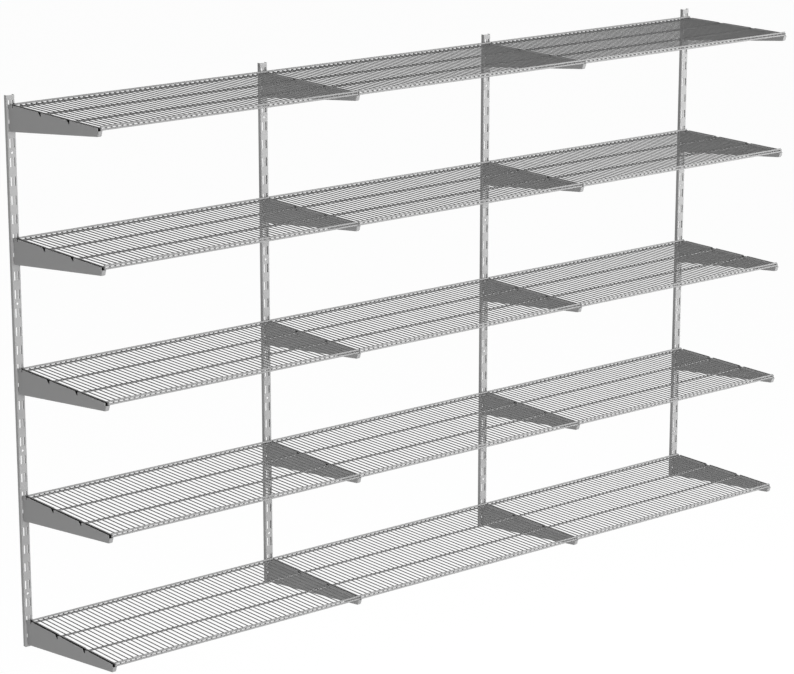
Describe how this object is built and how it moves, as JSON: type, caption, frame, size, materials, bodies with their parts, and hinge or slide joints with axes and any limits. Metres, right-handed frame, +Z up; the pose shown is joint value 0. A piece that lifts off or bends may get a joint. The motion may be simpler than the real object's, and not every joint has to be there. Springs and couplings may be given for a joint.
{
  "type": "boltless wall shelving",
  "caption": "Wall-hung boltless steel shelving: slotted uprights, hook-in tapered brackets and lift-off wire shelves in adjoining bays.",
  "frame": {"origin": "the middle of the rectangle that the four outer wall-screw holes make, on the front face of the uprights' webs", "axes": "+X along the wall to the right as seen from the room, +Y into the wall, +Z up"},
  "size_m": [2.425, 0.4315, 1.5],
  "materials": {
    "upright_steel": "silver-grey powder coat, satin",
    "bracket_steel": "mid-grey powder coat, satin",
    "shelf_wire": "grey coated welded wire, satin"
  },
  "bodies": {
    "wall_uprights": {"upright_1": "upright_steel", "upright_2": "upright_steel", "upright_3": "upright_steel", "upright_4": "upright_steel"},
    "level_1_brackets": {"bracket_level_1_upright_1": "bracket_steel", "bracket_level_1_upright_2": "bracket_steel", "bracket_level_1_upright_3": "bracket_steel", "bracket_level_1_upright_4": "bracket_steel"},
    "level_1_shelf_1": {"shelf_level_1_bay_1": "shelf_wire"},
    "level_1_shelf_2": {"shelf_level_1_bay_2": "shelf_wire"},
    "level_1_shelf_3": {"shelf_level_1_bay_3": "shelf_wire"},
    "level_2_brackets": {"bracket_level_2_upright_1": "bracket_steel", "bracket_level_2_upright_2": "bracket_steel", "bracket_level_2_upright_3": "bracket_steel", "bracket_level_2_upright_4": "bracket_steel"},
    "level_2_shelf_1": {"shelf_level_2_bay_1": "shelf_wire"},
    "level_2_shelf_2": {"shelf_level_2_bay_2": "shelf_wire"},
    "level_2_shelf_3": {"shelf_level_2_bay_3": "shelf_wire"},
    "level_3_brackets": {"bracket_level_3_upright_1": "bracket_steel", "bracket_level_3_upright_2": "bracket_steel", "bracket_level_3_upright_3": "bracket_steel", "bracket_level_3_upright_4": "bracket_steel"},
    "level_3_shelf_1": {"shelf_level_3_bay_1": "shelf_wire"},
    "level_3_shelf_2": {"shelf_level_3_bay_2": "shelf_wire"},
    "level_3_shelf_3": {"shelf_level_3_bay_3": "shelf_wire"},
    "level_4_brackets": {"bracket_level_4_upright_1": "bracket_steel", "bracket_level_4_upright_2": "bracket_steel", "bracket_level_4_upright_3": "bracket_steel", "bracket_level_4_upright_4": "bracket_steel"},
    "level_4_shelf_1": {"shelf_level_4_bay_1": "shelf_wire"},
    "level_4_shelf_2": {"shelf_level_4_bay_2": "shelf_wire"},
    "level_4_shelf_3": {"shelf_level_4_bay_3": "shelf_wire"},
    "level_5_brackets": {"bracket_level_5_upright_1": "bracket_steel", "bracket_level_5_upright_2": "bracket_steel", "bracket_level_5_upright_3": "bracket_steel", "bracket_level_5_upright_4": "bracket_steel"},
    "level_5_shelf_1": {"shelf_level_5_bay_1": "shelf_wire"},
    "level_5_shelf_2": {"shelf_level_5_bay_2": "shelf_wire"},
    "level_5_shelf_3": {"shelf_level_5_bay_3": "shelf_wire"}
  },
  "joints": [
    {"name": "level_1_unhook", "type": "slide", "parent": "wall_uprights", "child": "level_1_brackets", "axis": [0, 0, 1], "range_m": [0, 0.009]},
    {"name": "level_1_shelf_1_lift", "type": "slide", "parent": "level_1_brackets", "child": "level_1_shelf_1", "axis": [0, 0, 1], "range_m": [0, 0.04]},
    {"name": "level_1_shelf_2_lift", "type": "slide", "parent": "level_1_brackets", "child": "level_1_shelf_2", "axis": [0, 0, 1], "range_m": [0, 0.04]},
    {"name": "level_1_shelf_3_lift", "type": "slide", "parent": "level_1_brackets", "child": "level_1_shelf_3", "axis": [0, 0, 1], "range_m": [0, 0.04]},
    {"name": "level_2_unhook", "type": "slide", "parent": "wall_uprights", "child": "level_2_brackets", "axis": [0, 0, 1], "range_m": [0, 0.009]},
    {"name": "level_2_shelf_1_lift", "type": "slide", "parent": "level_2_brackets", "child": "level_2_shelf_1", "axis": [0, 0, 1], "range_m": [0, 0.04]},
    {"name": "level_2_shelf_2_lift", "type": "slide", "parent": "level_2_brackets", "child": "level_2_shelf_2", "axis": [0, 0, 1], "range_m": [0, 0.04]},
    {"name": "level_2_shelf_3_lift", "type": "slide", "parent": "level_2_brackets", "child": "level_2_shelf_3", "axis": [0, 0, 1], "range_m": [0, 0.04]},
    {"name": "level_3_unhook", "type": "slide", "parent": "wall_uprights", "child": "level_3_brackets", "axis": [0, 0, 1], "range_m": [0, 0.009]},
    {"name": "level_3_shelf_1_lift", "type": "slide", "parent": "level_3_brackets", "child": "level_3_shelf_1", "axis": [0, 0, 1], "range_m": [0, 0.04]},
    {"name": "level_3_shelf_2_lift", "type": "slide", "parent": "level_3_brackets", "child": "level_3_shelf_2", "axis": [0, 0, 1], "range_m": [0, 0.04]},
    {"name": "level_3_shelf_3_lift", "type": "slide", "parent": "level_3_brackets", "child": "level_3_shelf_3", "axis": [0, 0, 1], "range_m": [0, 0.04]},
    {"name": "level_4_unhook", "type": "slide", "parent": "wall_uprights", "child": "level_4_brackets", "axis": [0, 0, 1], "range_m": [0, 0.009]},
    {"name": "level_4_shelf_1_lift", "type": "slide", "parent": "level_4_brackets", "child": "level_4_shelf_1", "axis": [0, 0, 1], "range_m": [0, 0.04]},
    {"name": "level_4_shelf_2_lift", "type": "slide", "parent": "level_4_brackets", "child": "level_4_shelf_2", "axis": [0, 0, 1], "range_m": [0, 0.04]},
    {"name": "level_4_shelf_3_lift", "type": "slide", "parent": "level_4_brackets", "child": "level_4_shelf_3", "axis": [0, 0, 1], "range_m": [0, 0.04]},
    {"name": "level_5_unhook", "type": "slide", "parent": "wall_uprights", "child": "level_5_brackets", "axis": [0, 0, 1], "range_m": [0, 0.009]},
    {"name": "level_5_shelf_1_lift", "type": "slide", "parent": "level_5_brackets", "child": "level_5_shelf_1", "axis": [0, 0, 1], "range_m": [0, 0.04]},
    {"name": "level_5_shelf_2_lift", "type": "slide", "parent": "level_5_brackets", "child": "level_5_shelf_2", "axis": [0, 0, 1], "range_m": [0, 0.04]},
    {"name": "level_5_shelf_3_lift", "type": "slide", "parent": "level_5_brackets", "child": "level_5_shelf_3", "axis": [0, 0, 1], "range_m": [0, 0.04]}
  ]
}
